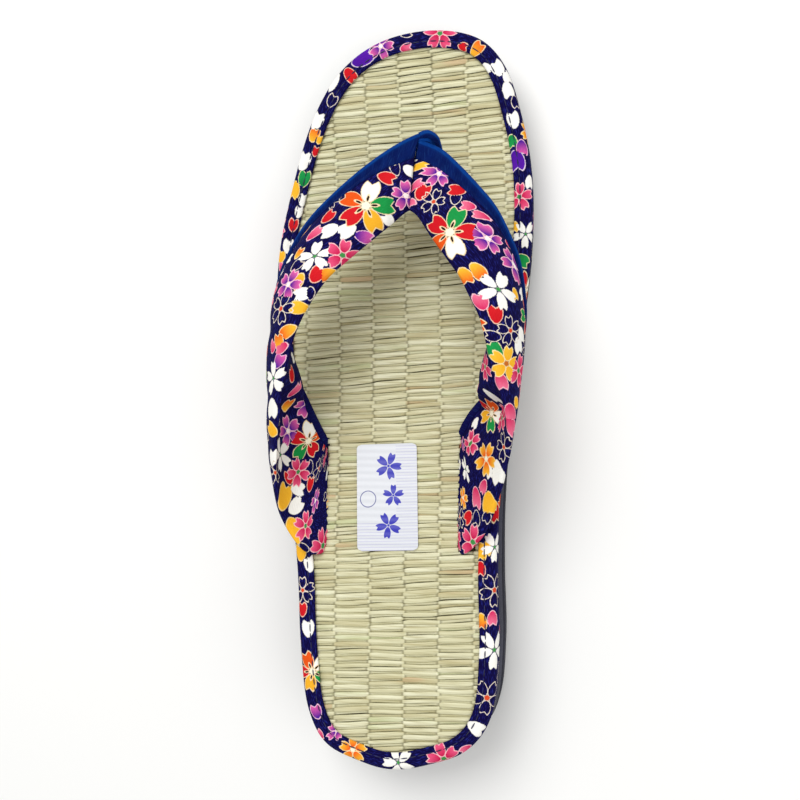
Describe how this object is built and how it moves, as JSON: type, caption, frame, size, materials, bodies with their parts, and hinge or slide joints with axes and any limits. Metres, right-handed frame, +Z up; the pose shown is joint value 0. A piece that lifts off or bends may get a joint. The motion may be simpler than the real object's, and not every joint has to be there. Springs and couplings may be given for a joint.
{
  "type": "zori sandal",
  "caption": "Thong sandal with a foam wedge sole, woven rush insole with a printed cloth edge, and a padded printed strap that forks from a toe post.",
  "frame": {"origin": "on the ground, under the middle of the sandal's length and width", "axes": "+Z up, +Y from heel to toe, +X towards the inner side of the left foot"},
  "size_m": [0.091, 0.252, 0.0545],
  "materials": {
    "foam": "matte moulded foam",
    "rush": "woven rush with a low sheen",
    "printed_cloth": "matte printed cotton",
    "piping": "matte bias-cut cloth",
    "paper": "coated paper"
  },
  "bodies": {
    "root": {"outsole": "foam", "tatami_insole": "rush", "edge_binding": "printed_cloth", "strap_upper": "printed_cloth", "piping_lateral": "piping", "piping_medial": "piping", "footbed_label": "paper"}
  },
  "joints": []
}
